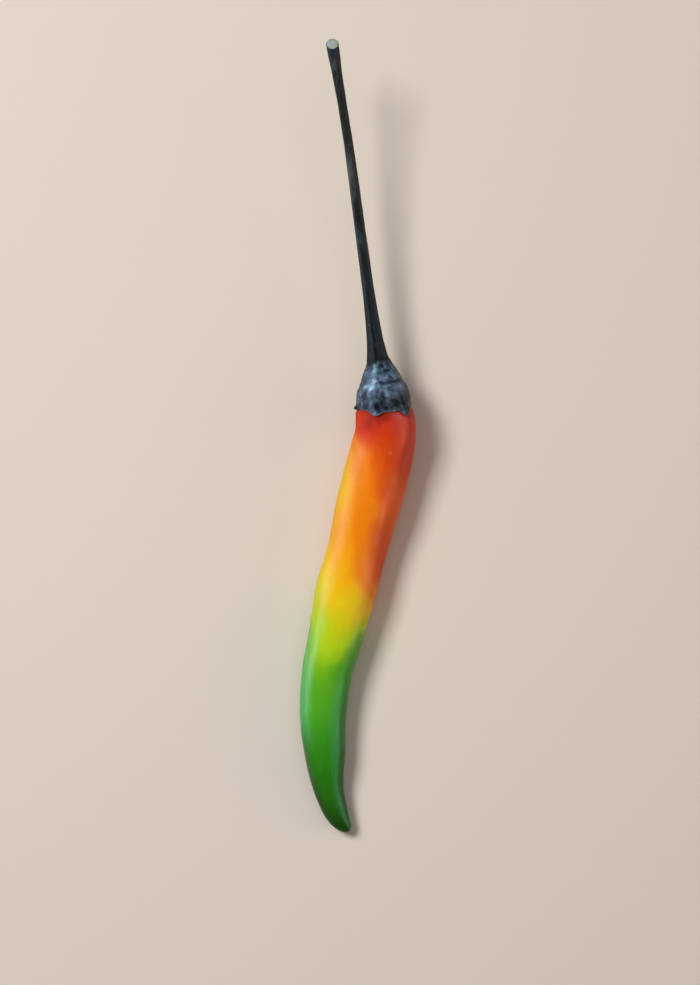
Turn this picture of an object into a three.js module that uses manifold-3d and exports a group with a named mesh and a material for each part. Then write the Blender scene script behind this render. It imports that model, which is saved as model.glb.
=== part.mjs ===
// A ripening bird's-eye chili pepper with a long stalk, lying on its side, in millimetres.
// +Y runs from the pod's tip to the stalk's cut end, +Z is up and z = 0 is the surface it lies on.
// The pod, the toothed calyx and the stalk are each turned straight, as if on a lathe, given
// their lobes, teeth and ribs, and then bent along one centreline.

import * as THREE from "three";
import { mergeVertices } from "three/addons/utils/BufferGeometryUtils.js";
import Module from "manifold-3d";

// Centreline of the whole pepper, from the stalk's cut end to the pod's tip: x, y, z.
const CENTRELINE = [
  [-3.85, 57.75, 16.9],
  [-1.5, 44.0, 12.2],
  [0.6, 29.2, 9.4],
  [2.6, 14.7, 8.1],
  [3.7, 7.2, 7.3],
  [4.1, 2.7, 6.5],
  [3.75, -1.2, 5.65],
  [2.75, -5.4, 4.9],
  [1.5, -10.1, 4.55],
  [-0.1, -16.1, 4.25],
  [-1.7, -22.1, 4.1],
  [-3.0, -28.1, 3.83],
  [-4.5, -34.1, 3.58],
  [-5.2, -40.0, 3.38],
  [-5.0, -45.9, 3.05],
  [-4.4, -51.8, 2.45],
  [-3.2, -56.0, 2.05],
  [-1.45, -58.8, 1.9],
];

// Profiles: distance along the centreline from the stalk's cut end, and radius there.
const STALK = [
  [0, 0.91],
  [1.6, 0.87],
  [5, 0.71],
  [10, 0.63],
  [20, 0.69],
  [31, 0.78],
  [37, 0.87],
  [43, 1.13],
  [46, 1.4],
  [47.7, 1.7],
];
const CALYX = [
  [48, 1.74],
  [48.4, 2.02],
  [49.2, 2.42],
  [50.2, 2.78],
  [51, 3.1],
  [51.6, 3.5],
  [52.4, 3.84],
  [53.6, 4.0],
  [54.8, 4.08],
];
const POD = [
  [51.3, 0],
  [51.45, 1.2],
  [52.1, 2.2],
  [53.1, 2.95],
  [54.1, 3.4],
  [55, 3.78],
  [55.8, 4.2],
  [56.7, 4.5],
  [58, 4.66],
  [61, 4.72],
  [66, 4.74],
  [71, 4.72],
  [76.5, 4.38],
  [79.5, 4.42],
  [83, 4.5],
  [87, 4.2],
  [91, 3.95],
  [96, 3.68],
  [102, 3.38],
  [108, 2.92],
  [113, 2.2],
  [117, 1.64],
  [118.6, 1.25],
  [119.5, 0.78],
  [119.95, 0],
];
const POINTS_PER_SPAN = { stalk: 4, calyx: 2, pod: 3 };
const SIDES = { stalk: 20, calyx: 60, pod: 36 };

// How the stalk is fluted and cut.
const RIBS = 5;
const RIB_HEIGHT = 0.05; // of the stalk's radius
const RIB_TWIST = THREE.MathUtils.degToRad(55); // over the stalk's length
const CUT_LEAN = Math.tan(THREE.MathUtils.degToRad(28)); // the cut face looks up by this much
const CUT_REACH = 4; // the lean has faded out this far down the stalk

// The calyx's teeth, as degrees from the top towards +X and length, and its rim and ridges.
const TEETH = [
  [-86, 0.45],
  [-17, 0.8],
  [43, 1.2],
  [118, 0.6],
  [194, 0.75],
];
const TOOTH_HALF_WIDTH = 27; // degrees
const TOOTH_FLICK = 0.15; // how far a tooth's tip stands off the pod
const RIM_WAVE = 0.3; // the rim reaches further along on top and below than at the sides
const CUP_START = 52.4; // the cup's wall is drawn out into the teeth from here
const RIDGE_HEIGHT = 0.16;
const FIT_GAP = 0.3; // between the calyx and the pod it holds

// The pod's slightly lobed section, and its dents: along, degrees from the top, depth, reach.
const LOBES_FROM = 57;
const LOBES_FULL = 64;
const TWO_LOBES = 0.014;
const THREE_LOBES = 0.012;
const LOBE_TWIST = 0.03; // radians per millimetre
const DENTS = [
  [61.3, 78, 0.32, 2.4],
  [59.6, -62, 0.22, 2.8],
  [76.5, -80, 0.16, 3.5],
  [70.5, 20, 0.14, 3.2],
  [86.5, 95, 0.14, 3.4],
];

const UP = new THREE.Vector3(0, 0, 1);
const TURN = 2 * Math.PI;

const wasm = await Module();
wasm.setup();

const centreline = new THREE.CatmullRomCurve3(
  CENTRELINE.map((point) => new THREE.Vector3(...point)),
  false,
  "catmullrom",
);
centreline.arcLengthDivisions = 1200;
const LENGTH = centreline.getLength();

/** A point of a piece: `along` the centreline, `radius` out from it, at `angle` from the top. */
function onPepper(along, radius, angle) {
  const share = THREE.MathUtils.clamp(along / LENGTH, 0, 1);
  const tangent = centreline.getTangentAt(share);
  const across = new THREE.Vector3().crossVectors(UP, tangent).normalize();
  const over = new THREE.Vector3().crossVectors(tangent, across);
  return centreline
    .getPointAt(share)
    .addScaledVector(tangent, along - share * LENGTH)
    .addScaledVector(across, radius * Math.sin(angle))
    .addScaledVector(over, radius * Math.cos(angle));
}

/** The smooth line through a profile of [along, radius] points. */
function lineThrough(profile) {
  return new THREE.SplineCurve(profile.map((point) => new THREE.Vector2(...point)));
}

/** The [along, radius] points of the smooth line through a profile, `fine` to each span. */
function smooth(profile, fine) {
  return lineThrough(profile)
    .getPoints((profile.length - 1) * fine)
    .map((point) => [point.x, Math.max(0, point.y)]);
}

/** Radius of a sampled profile at a distance along the centreline. */
function radiusAt(sampled, along) {
  const next = sampled.findIndex((point) => point[0] > along);
  if (next < 1) return next < 0 ? 0 : sampled[0][1];
  const [[a, from], [b, to]] = [sampled[next - 1], sampled[next]];
  return THREE.MathUtils.mapLinear(along, a, b, from, to);
}

/** Turns a profile on a lathe, moves each point by `shape`, and bends it along the centreline. */
function grown(profile, sides, shape) {
  const lathe = new THREE.LatheGeometry(
    profile.map(([along, radius]) => new THREE.Vector2(radius, along)),
    sides,
  );
  const corners = lathe.getAttribute("position");
  for (let i = 0; i < corners.count; i++) {
    const step = i % profile.length;
    const angle = ((Math.floor(i / profile.length) % sides) * TURN) / sides;
    const [along, radius] = shape(...profile[step], angle, step);
    corners.setXYZ(i, ...onPepper(along, radius, angle));
  }
  return welded(lathe);
}

/** The same faces with shared corners merged and empty triangles dropped. */
function welded(geometry) {
  geometry.deleteAttribute("normal");
  geometry.deleteAttribute("uv");
  const merged = mergeVertices(geometry, 1e-4);
  const faces = [];
  for (let i = 0; i < merged.index.count; i += 3) {
    const face = [0, 1, 2].map((corner) => merged.index.getX(i + corner));
    if (new Set(face).size === 3) faces.push(...face);
  }
  return merged.setIndex(faces);
}

/** A closed geometry as a solid that can be cut. */
function solidOf(geometry) {
  const { position } = geometry.attributes;
  return new wasm.Manifold(
    new wasm.Mesh({
      numProp: 3,
      vertProperties: new Float32Array(position.array),
      triVerts: new Uint32Array(geometry.index.array),
    }),
  );
}

/** A solid's faces as a geometry. */
function geometryOf(solid) {
  const { vertProperties, triVerts } = solid.getMesh();
  return new THREE.BufferGeometry()
    .setAttribute("position", new THREE.BufferAttribute(vertProperties, 3))
    .setIndex(new THREE.BufferAttribute(triVerts, 1));
}

/** The least turn from an angle to a direction given in degrees. */
function turnFrom(angle, degrees) {
  return Math.abs(((angle - THREE.MathUtils.degToRad(degrees) + TURN * 1.5) % TURN) - Math.PI);
}

/** The stalk: fluted, a little twisted, flared into a foot, and cut off at a slant. */
function stalk() {
  const wall = smooth(STALK, POINTS_PER_SPAN.stalk);
  const foot = STALK.at(-1)[0];
  const profile = [[0, 0], ...wall, [foot, 0]].reverse();
  return grown(profile, SIDES.stalk, (along, radius, angle) => {
    const twist = (RIB_TWIST * along) / foot;
    const ribs = RIB_HEIGHT * Math.cos(RIBS * (angle - twist));
    const fluted = radius * (1 + ribs * THREE.MathUtils.smoothstep(along, 1, 12));
    const leaning = 1 - THREE.MathUtils.smoothstep(along, 0, CUT_REACH);
    return [along + CUT_LEAN * fluted * Math.cos(angle) * leaning, fluted];
  });
}

/** The calyx's nearest tooth at an angle: its length, and its share of width and of ridge there. */
function toothAt(angle) {
  const [away, length] = TEETH.map(([degrees, size]) => [turnFrom(angle, degrees), size]).sort(
    (a, b) => a[0] - b[0],
  )[0];
  const share = Math.max(0, 1 - away / THREE.MathUtils.degToRad(TOOTH_HALF_WIDTH));
  return { length, share, ridge: Math.cos((away * TEETH.length) / 2) ** 2 };
}

/** The calyx: a cup that holds the pod's shoulder, with a ridge running down to each tooth. */
function calyx(podWall) {
  const outside = smooth(CALYX, POINTS_PER_SPAN.calyx);
  const rim = CALYX.at(-1)[0];
  const podLine = lineThrough(POD);
  const steps = (POD.length - 1) * POINTS_PER_SPAN.calyx;
  const inside = podLine
    .getPoints(steps)
    .map((point, i) => {
      const tangent = podLine.getTangent(i / steps);
      return [point.x - tangent.y * FIT_GAP, Math.max(0, point.y + tangent.x * FIT_GAP)];
    })
    .filter(([along]) => along < rim);
  inside[0] = [POD[0][0] - FIT_GAP, 0];
  const profile = [[CALYX[0][0], 0], ...outside, ...inside.reverse()].reverse();
  const firstOutside = inside.length;
  return grown(profile, SIDES.calyx, (along, radius, angle, step) => {
    const { length, share, ridge } = toothAt(angle);
    const drawn = THREE.MathUtils.smoothstep(along, CUP_START, rim);
    const longer = along + drawn * (length * share + RIM_WAVE * Math.cos(2 * angle));
    const follow = radiusAt(podWall, longer) - radiusAt(podWall, along);
    const wider = radius + (radius > 0 ? follow + TOOTH_FLICK * share * drawn : 0);
    if (step < firstOutside || radius === 0) return [longer, wider];
    const raised = (ridge - 0.5) * THREE.MathUtils.smoothstep(along, 48.2, 51);
    return [longer, wider + RIDGE_HEIGHT * raised];
  });
}

/** The pod: a slender curved body with faint lobes and dents, flat where it lies. */
function pod(podWall) {
  const body = grown([...podWall].reverse(), SIDES.pod, (along, radius, angle) => {
    const lobes =
      TWO_LOBES * Math.cos(2 * angle + LOBE_TWIST * along) +
      THREE_LOBES * Math.cos(3 * angle - LOBE_TWIST * along);
    const shown = THREE.MathUtils.smoothstep(along, LOBES_FROM, LOBES_FULL);
    const dent = DENTS.reduce((sum, [at, degrees, depth, reach]) => {
      const round = radius * turnFrom(angle, degrees);
      return sum + depth * Math.exp(-((along - at) ** 2 + round ** 2) / reach ** 2);
    }, 0);
    return [along, radius > 0 ? radius * (1 + lobes * shown) - dent : 0];
  });
  const surface = new THREE.BoxGeometry(80, 200, 20).translate(0, 0, -10);
  return geometryOf(solidOf(body).subtract(solidOf(welded(surface))));
}

/** A named mesh with its own material. */
function piece(name, geometry, color, roughness) {
  const material = new THREE.MeshStandardMaterial({ color, roughness, metalness: 0 });
  const mesh = new THREE.Mesh(geometry, material);
  mesh.name = name;
  return mesh;
}

const podWall = smooth(POD, POINTS_PER_SPAN.pod);
const pepper = new THREE.Group();
pepper.add(
  piece("pod", pod(podWall), 0xd86a1c, 0.35),
  piece("calyx", calyx(podWall), 0x2b343c, 0.4),
  piece("stalk", stalk(), 0x20261f, 0.6),
);

export default pepper;
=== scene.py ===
"""A ripening bird's-eye chili pepper with a long stalk, lying on its side.

The pod, the toothed calyx and the stalk all grow along one centreline, which runs from the
stalk's cut end to the pod's tip. Each piece is made straight and bent along that line, so every
point of it has a distance along the line, a distance out from it, and an angle round it, which is
counted from the top towards +X. Fields and attributes hold millimetres, and meshes hold metres.
"""

import logging
import math
from abc import ABC, abstractmethod
from collections.abc import Mapping
from dataclasses import dataclass, field
from enum import Enum
from functools import cache, cached_property
from typing import ClassVar, NamedTuple, TypeAlias

import bmesh
import bpy
import numpy as np
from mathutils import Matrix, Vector


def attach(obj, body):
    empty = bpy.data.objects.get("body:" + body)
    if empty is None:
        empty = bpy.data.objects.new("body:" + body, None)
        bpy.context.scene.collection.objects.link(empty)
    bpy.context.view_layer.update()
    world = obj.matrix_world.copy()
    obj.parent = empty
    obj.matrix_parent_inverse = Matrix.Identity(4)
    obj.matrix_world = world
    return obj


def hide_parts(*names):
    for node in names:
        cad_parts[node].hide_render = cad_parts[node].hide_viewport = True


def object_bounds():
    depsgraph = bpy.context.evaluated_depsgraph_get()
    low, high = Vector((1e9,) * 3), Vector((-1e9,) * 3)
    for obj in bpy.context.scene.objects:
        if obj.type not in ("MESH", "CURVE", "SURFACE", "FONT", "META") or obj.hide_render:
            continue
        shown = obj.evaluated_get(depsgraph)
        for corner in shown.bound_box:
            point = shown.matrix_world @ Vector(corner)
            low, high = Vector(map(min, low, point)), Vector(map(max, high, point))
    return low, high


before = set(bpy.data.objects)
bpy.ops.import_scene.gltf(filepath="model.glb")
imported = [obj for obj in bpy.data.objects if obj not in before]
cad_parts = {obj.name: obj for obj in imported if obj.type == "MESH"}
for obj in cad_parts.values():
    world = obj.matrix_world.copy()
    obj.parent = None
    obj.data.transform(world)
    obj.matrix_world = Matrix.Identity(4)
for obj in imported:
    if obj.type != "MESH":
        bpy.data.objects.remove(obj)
CAD_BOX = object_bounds()

LOG = logging.getLogger("chili")
MM = 0.001
BODY = "root"
MERGED = 0.0005 * MM  # points closer than this become one
FOLD_GAIN, FOLD_DROP = 3.0, 0.6  # a rounded fold is a wave's size times one, less the other
PATCH_NOISE = (0.25, 0.75)  # the noise that counts as -1 and as 1 in soft patches

Point = tuple[float, float, float]
Colour = tuple[float, float, float, float]
Stop = tuple[float, str]  # a number, and the colour there
Ramp = tuple[float, ...]  # where it starts and ends, and the numbers there if not 0 and 1
Hump = tuple[float, float, float, float]  # where it starts, is whole, begins to fade, and ends
Value: TypeAlias = "Wire | bpy.types.Material | float | tuple | str"
MESH = {"Geometry": "Geometry"}


class Slot(Enum):
    """The record's material slots."""

    POD = "pod"
    CALYX = "calyx"
    STALK = "stalk"


class Mark(Enum):
    """The attributes that a piece's points carry from its making to its finish."""

    ALONG = "along"  # distance from the stalk's cut end
    GIRTH = "girth"  # radius before lobes, ribs and dents
    SUNK = "sunk"  # how far a point of the cut face is set into the stalk
    AXIS = "axis"  # the centreline's point
    GROW = "grow"  # the centreline's direction, towards the tip
    SIDE = "side"  # sine of the angle: 1 is towards +X
    TOP = "top"  # cosine of the angle: 1 is on top
    STRAIGHT = "straight"  # the point's place before the piece was bent
    LOOSE = "loose"  # how freely the skin wrinkles
    RAISED = "raised"  # how high relief lifts the point
    RIM = "rim"  # 1 on an edge, cut or tip that has a finish of its own

    @property
    def is_vector(self) -> bool:
        """Whether it holds a vector, and not a number."""
        return self in (Mark.AXIS, Mark.GROW, Mark.STRAIGHT)

    @property
    def kind(self) -> str:
        """Blender's name for what it holds."""
        return "FLOAT_VECTOR" if self.is_vector else "FLOAT"


def linear(code: str) -> Colour:
    """Turns a colour written as six hexadecimal digits into Blender's linear one."""
    shares = (int(code[k : k + 2], 16) / 255 for k in (0, 2, 4))
    return *(s / 12.92 if s <= 0.04045 else ((s + 0.055) / 1.055) ** 2.4 for s in shares), 1.0


def smoothstep(value: np.ndarray | float, low: float, high: float) -> np.ndarray:
    """Rises smoothly from 0, at and below low, to 1, at and above high."""
    share = np.clip((value - low) / (high - low), 0, 1)
    return share * share * (3 - 2 * share)


def wrapped(turn: np.ndarray) -> np.ndarray:
    """Brings angles to within half a turn of 0."""
    return (turn + math.pi) % (2 * math.pi) - math.pi


def smooth_line(points: tuple[tuple[float, ...], ...], fine: int, overrun: float) -> np.ndarray:
    """Runs a smooth line through points.

    Args:
        points: the points.
        fine: steps to each span.
        overrun: how far past the ends the line is guided, in lengths of the spans there.
    Returns:
        The line's points, one to a row.
    """
    rows = np.array(points)
    first = rows[0] + overrun * (rows[0] - rows[1])
    last = rows[-1] + overrun * (rows[-1] - rows[-2])
    rows = np.vstack([first, rows, last])
    t = np.linspace(0, 1, fine, endpoint=False)[None, :, None]
    before, start, end, after = (rows[k : len(rows) - 3 + k, None] for k in range(4))
    leave, arrive = (end - before) / 2, (after - start) / 2
    line = (2 * start - 2 * end + leave + arrive) * t**3
    line = line + (3 * end - 3 * start - 2 * leave - arrive) * t**2 + leave * t + start
    return np.vstack([line.reshape(-1, rows.shape[1]), rows[-2]])


def walked(line: np.ndarray) -> np.ndarray:
    """Distance from the start of a line of points to each of its points."""
    return np.concatenate([[0], np.cumsum(np.linalg.norm(np.diff(line, axis=0), axis=1))])


def read_rows(wanted: np.ndarray, distance: np.ndarray, rows: np.ndarray) -> np.ndarray:
    """Reads rows, which lie at rising distances, at the wanted distances between them."""
    return np.column_stack([np.interp(wanted, distance, column) for column in rows.T])


class Rings(NamedTuple):
    """Where rings round the centreline lie, one row to a ring, in millimetres."""

    axis: np.ndarray
    grow: np.ndarray
    across: np.ndarray
    over: np.ndarray


@dataclass(frozen=True)
class Centreline:
    """The curve that the whole pepper grows along, from the stalk's cut end to the pod's tip."""

    points: tuple[Point, ...] = (
        (-3.85, 57.75, 16.9), (-1.5, 44.0, 12.2), (0.6, 29.2, 9.4), (2.6, 14.7, 8.1),
        (3.7, 7.2, 7.3), (4.1, 2.7, 6.5), (3.75, -1.2, 5.65), (2.75, -5.4, 4.9),
        (1.5, -10.1, 4.55), (-0.1, -16.1, 4.25), (-1.7, -22.1, 4.1), (-3.0, -28.1, 3.83),
        (-4.5, -34.1, 3.58), (-5.2, -40.0, 3.38), (-5.0, -45.9, 3.05), (-4.4, -51.8, 2.45),
        (-2.95, -56.0, 2.05), (-0.85, -58.7, 1.95),
    )
    fine: int = 400

    @cached_property
    def line(self) -> np.ndarray:
        """Closely spaced points of the curve."""
        return smooth_line(self.points, self.fine, 1.0)

    def rings(self, along: np.ndarray) -> Rings:
        """Finds the axis and the directions of rings round the curve.

        Args:
            along: distances along the curve. Past its ends it runs straight on.
        Returns:
            The rings' axis points and directions.
        """
        distance = walked(self.line)
        inside = np.clip(along, 0, distance[-1])
        grow = read_rows(inside, distance, np.gradient(self.line, distance, axis=0))
        grow /= np.linalg.norm(grow, axis=1)[:, None]
        across = np.cross((0, 0, 1), grow)
        across /= np.linalg.norm(across, axis=1)[:, None]
        axis = read_rows(inside, distance, self.line) + grow * (along - inside)[:, None]
        return Rings(axis, grow, across, np.cross(grow, across))


CENTRELINE = Centreline()


@dataclass(frozen=True)
class Profile:
    """A radius that changes smoothly along the centreline."""

    points: tuple[tuple[float, float], ...]
    fine: int = 60

    @cached_property
    def line(self) -> np.ndarray:
        """Closely spaced [along, radius] points of the whole wall."""
        return np.maximum(smooth_line(self.points, self.fine, 0.0), 0)

    def radius(self, along: np.ndarray | float) -> np.ndarray:
        """Radius at distances along the centreline."""
        return np.interp(along, self.line[:, 0], self.line[:, 1])

    def rows(self, count: int) -> np.ndarray:
        """Spreads [along, radius] rows evenly over the wall."""
        distance = walked(self.line)
        return read_rows(np.linspace(0, distance[-1], count), distance, self.line)


class Wire:
    """What a node puts out. Wires add, subtract, multiply and divide as numbers do."""

    def __init__(self, graph: "Graph", node: bpy.types.Node, name: str | None = None) -> None:
        """Takes an output.

        Args:
            graph: the tree under construction.
            node: the node.
            name: the output's name. Without one it is the node's first, if it has any.
        """
        self.graph, self.node = graph, node
        shown = (output for output in node.outputs if output.enabled)
        self.socket = node.outputs[name] if name else next(shown, None)

    def __getitem__(self, name: str) -> "Wire":
        """Another output of the same node."""
        return Wire(self.graph, self.node, name)

    def __add__(self, other: Value) -> "Wire":
        """The sum."""
        return self.graph.maths("ADD", self, other)

    def __sub__(self, other: Value) -> "Wire":
        """The difference."""
        return self.graph.maths("SUBTRACT", self, other)

    def __mul__(self, other: Value) -> "Wire":
        """The product."""
        return self.graph.maths("MULTIPLY", self, other)

    def __truediv__(self, other: Value) -> "Wire":
        """The quotient."""
        return self.graph.maths("DIVIDE", self, other)

    def __abs__(self) -> "Wire":
        """The number without its sign."""
        return self.graph.maths("ABSOLUTE", self)


class Graph:
    """Adds nodes to a tree and joins them, so that a tree reads as a list of steps."""

    kind: ClassVar[str]  # what Blender's names for the tree and its group nodes start with

    def __init__(self, name: str, inputs: Mapping[str, str], outputs: Mapping[str, str]) -> None:
        """Makes a tree.

        Args:
            name: the tree's name.
            inputs: the kinds of its inputs, by name.
            outputs: the kinds of its outputs, by name.
        """
        self.tree = bpy.data.node_groups.new(name, f"{self.kind}Tree")
        for way, sockets in (("INPUT", inputs), ("OUTPUT", outputs)):
            for label, kind in sockets.items():
                self.tree.interface.new_socket(
                    label, in_out=way, socket_type=f"NodeSocket{kind}"
                )
        self.given = self.add("NodeGroupInput")

    def put_out(self, values: Mapping[str, Value]) -> bpy.types.NodeTree:
        """Ends the tree with what it puts out, by name, and hands it over."""
        self.add("NodeGroupOutput", values)
        return self.tree

    def add(
        self, kind: str, values: Mapping[str | int, Value] | None = None, **settings: object
    ) -> Wire:
        """Adds one node.

        Args:
            kind: Blender's name for the kind of node.
            values: what goes into its inputs, by their names or by their places among those shown.
            settings: the node's own properties.
        Returns:
            What it puts out first.
        """
        node = self.tree.nodes.new(kind)
        for name, value in settings.items():
            setattr(node, name, value)
        shown = [socket for socket in node.inputs if socket.enabled]
        for key, value in (values or {}).items():
            socket = shown[key] if isinstance(key, int) else next(s for s in shown if s.name == key)
            if isinstance(value, Wire):
                self.tree.links.new(value.socket, socket)
            else:
                socket.default_value = value
        return Wire(self, node)

    def use(self, group: bpy.types.NodeTree, values: Mapping[str, Value]) -> Wire:
        """Places a group, with what goes into its inputs by name."""
        return self.add(f"{self.kind}Group", values, node_tree=group)

    def maths(self, operation: str, *values: Value) -> Wire:
        """Adds a Math node with its values in order."""
        return self.add("ShaderNodeMath", dict(enumerate(values)), operation=operation)

    def vector(self, operation: str, *values: Value) -> Wire:
        """Adds a Vector Math node with its values in order."""
        return self.add("ShaderNodeVectorMath", dict(enumerate(values)), operation=operation)

    def combined(self, *parts: Value) -> Wire:
        """Makes a vector of three numbers."""
        return self.add("ShaderNodeCombineXYZ", dict(enumerate(parts)))

    def ramped(
        self, value: Value, low: float, high: float, start: Value = 0.0, end: Value = 1.0
    ) -> Wire:
        """Goes smoothly from start, at and below low, to end, at and above high."""
        values = dict(enumerate((value, low, high, start, end)))
        return self.add("ShaderNodeMapRange", values, interpolation_type="SMOOTHSTEP")

    def hump(self, value: Value, start: float, full: float, fade: float, end: float) -> Wire:
        """Rises from 0 to 1 between start and full, and falls back between fade and end."""
        return self.ramped(value, start, full) * self.ramped(value, fade, end, 1.0, 0.0)

    def patchy(self, place: Value, roughness: float) -> Wire:
        """Reads noise of the size, stretch, detail and seed that the group is given.

        Args:
            place: where it is read.
            roughness: how strong its finer layers are.
        Returns:
            The noise, from 0 to 1 round 0.5.
        """
        given = self.given
        long = self.combined(1.0, 1.0, self.maths("DIVIDE", 1.0, given["Stretch"]))
        place = self.vector("DIVIDE", self.vector("MULTIPLY", place, long), given["Size"])
        values = {"Vector": place, "W": given["Seed"], "Detail": given["Detail"]}
        values |= {"Scale": 1.0, "Roughness": roughness}
        return self.add("ShaderNodeTexNoise", values, noise_dimensions="4D")


class ShapeGraph(Graph):
    """A geometry node tree or group under construction."""

    kind = "GeometryNode"

    def read(self, mark: Mark) -> Wire:
        """Reads an attribute."""
        named = "GeometryNodeInputNamedAttribute"
        return self.add(named, {"Name": mark.value}, data_type=mark.kind)

    def store(self, mesh: Wire, mark: Mark, value: Wire) -> Wire:
        """Writes an attribute to a mesh's points."""
        values = {"Geometry": mesh, "Name": mark.value, "Value": value}
        return self.add("GeometryNodeStoreNamedAttribute", values, data_type=mark.kind)

    def wrinkled(
        self, mesh: Wire, kind: str, stretch: float, detail: float, sharp: float = 0.0
    ) -> Wire:
        """Wrinkles a skin.

        Args:
            mesh: what is wrinkled.
            kind: what the tree's inputs call this kind of wrinkle.
            stretch: how many times as long as wide the wrinkles are.
            detail: how many finer layers they have.
            sharp: how far they are sharp creases between rounded folds.
        Returns:
            The wrinkled mesh.
        """
        given = self.given
        sizes = {"Size": given[f"{kind} size"], "Height": given[f"{kind} height"]}
        sizes |= {"Stretch": stretch, "Detail": detail, "Sharp": sharp, "Seed": given["Seed"]}
        return self.use(wrinkle_group(), {"Geometry": mesh} | sizes)

    def merged(self, mesh: Wire) -> Wire:
        """Closes the poles, where a ring's points coincide."""
        return self.add("GeometryNodeMergeByDistance", {"Geometry": mesh, "Distance": MERGED})

    def closed_off(self, mesh: Wire) -> bpy.types.NodeTree:
        """Ends the tree: closes the poles, smooths the shading and sets the material.

        Args:
            mesh: the formed mesh.
        Returns:
            The tree.
        """
        mesh = self.add("GeometryNodeSetShadeSmooth", {"Geometry": self.merged(mesh)})
        mesh = self.add("GeometryNodeRealizeInstances", {"Geometry": mesh})
        dressed = {"Geometry": mesh, "Material": self.given["Material"]}
        return self.put_out({"Geometry": self.add("GeometryNodeSetMaterial", dressed)})


class RingGraph(ShapeGraph):
    """A geometry node tree that puts a ring round each point of a spine."""

    def __init__(self, name: str, inputs: Mapping[str, str], outputs: Mapping[str, str]) -> None:
        """Places the rings, and stores their points' side, top and straight places.

        Args:
            name: the tree's name.
            inputs: the kinds of its inputs, by name.
            outputs: the kinds of its outputs, by name.
        """
        super().__init__(name, inputs, outputs)
        line = self.add("GeometryNodeMeshToCurve", {"Mesh": self.given["Geometry"]})
        line = self.add("GeometryNodeSetCurveNormal", {"Curve": line}, mode="Z_UP")
        values = {"Resolution": self.given["Sides"], "Radius": MM}
        ring = self.add("GeometryNodeCurvePrimitiveCircle", values)
        values = {"Curve": line, "Profile Curve": ring, "Scale": self.read(Mark.GIRTH)}
        mesh = self.add("GeometryNodeCurveToMesh", values)
        grow = self.read(Mark.GROW)
        across = self.vector("NORMALIZE", self.vector("CROSS_PRODUCT", (0, 0, 1), grow))
        over = self.vector("CROSS_PRODUCT", grow, across)
        off_axis = self.vector(
            "SUBTRACT", self.add("GeometryNodeInputPosition"), self.read(Mark.AXIS)
        )
        aside, above = (self.vector("DOT_PRODUCT", off_axis, way) for way in (across, over))
        self.angle = self.maths("ARCTAN2", aside, above)
        side, top = self.maths("SINE", self.angle), self.maths("COSINE", self.angle)
        sideways, upwards = self.vector("SCALE", across, side), self.vector("SCALE", over, top)
        self.out = self.vector("ADD", sideways, upwards)
        self.along, self.girth = self.read(Mark.ALONG), self.read(Mark.GIRTH)
        straight = self.combined(side * self.girth, top * self.girth, self.along)
        for mark, value in ((Mark.STRAIGHT, straight), (Mark.SIDE, side), (Mark.TOP, top)):
            mesh = self.store(mesh, mark, value)
        self.mesh = mesh

    def set_out(self, radius: Wire, forward: Wire | None = None) -> Wire:
        """Places the rings' points.

        Args:
            radius: how far each point lies from the centreline.
            forward: how far it is moved along the centreline's direction.
        Returns:
            The mesh.
        """
        outward = self.vector("SCALE", self.out, radius * MM)
        corner = self.vector("ADD", self.read(Mark.AXIS), outward)
        if forward:
            onward = self.vector("SCALE", self.read(Mark.GROW), forward * MM)
            corner = self.vector("ADD", corner, onward)
        return self.add("GeometryNodeSetPosition", {"Geometry": self.mesh, "Position": corner})


@cache
def dent_group() -> bpy.types.NodeTree:
    """Makes the group that gives the depth of one soft dent.

    Returns:
        A group whose inputs are the point's place and the dent's place, depth and reach.
    """
    names = ("Along", "Angle", "Radius", "At", "Direction", "Depth", "Reach")
    graph = ShapeGraph("Dent", dict.fromkeys(names, "Float"), {"Depth": "Float"})
    given = graph.given
    off = given["Along"] - given["At"]
    turn = graph.maths("WRAP", given["Angle"] - given["Direction"], math.pi, -math.pi)
    round_it = given["Radius"] * turn
    squares = off * off + round_it * round_it
    fall = graph.maths("EXPONENT", squares / (given["Reach"] * given["Reach"]) * -1.0)
    return graph.put_out({"Depth": given["Depth"] * fall})


@cache
def wrinkle_group() -> bpy.types.NodeTree:
    """Makes the group that wrinkles a skin along its normals and notes how high it rose.

    Returns:
        A group whose inputs are the mesh, the wrinkles' size, length, height and detail, how far
        they are sharp creases between rounded folds, and a seed.
    """
    numbers = dict.fromkeys(("Size", "Stretch", "Height", "Detail", "Sharp", "Seed"), "Float")
    graph = ShapeGraph("Wrinkles", MESH | numbers, MESH)
    wave = graph.patchy(graph.read(Mark.STRAIGHT), roughness=0.5) * 2.0 - 1.0
    folds = abs(wave) * FOLD_GAIN - FOLD_DROP
    wave = wave + graph.given["Sharp"] * (folds - wave)
    rise = wave * graph.given["Height"] * graph.read(Mark.LOOSE)
    offset = graph.vector("SCALE", graph.add("GeometryNodeInputNormal"), rise * MM)
    values = {"Geometry": graph.given["Geometry"], "Offset": offset}
    moved = graph.add("GeometryNodeSetPosition", values)
    raised = graph.read(Mark.RAISED) + rise
    return graph.put_out({"Geometry": graph.store(moved, Mark.RAISED, raised)})


class Pattern(NamedTuple):
    """Soft patches of colour."""

    size: float
    stretch: float  # how many times as long as wide they are
    seed: float
    detail: float = 2.0  # how many finer layers they have


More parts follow.
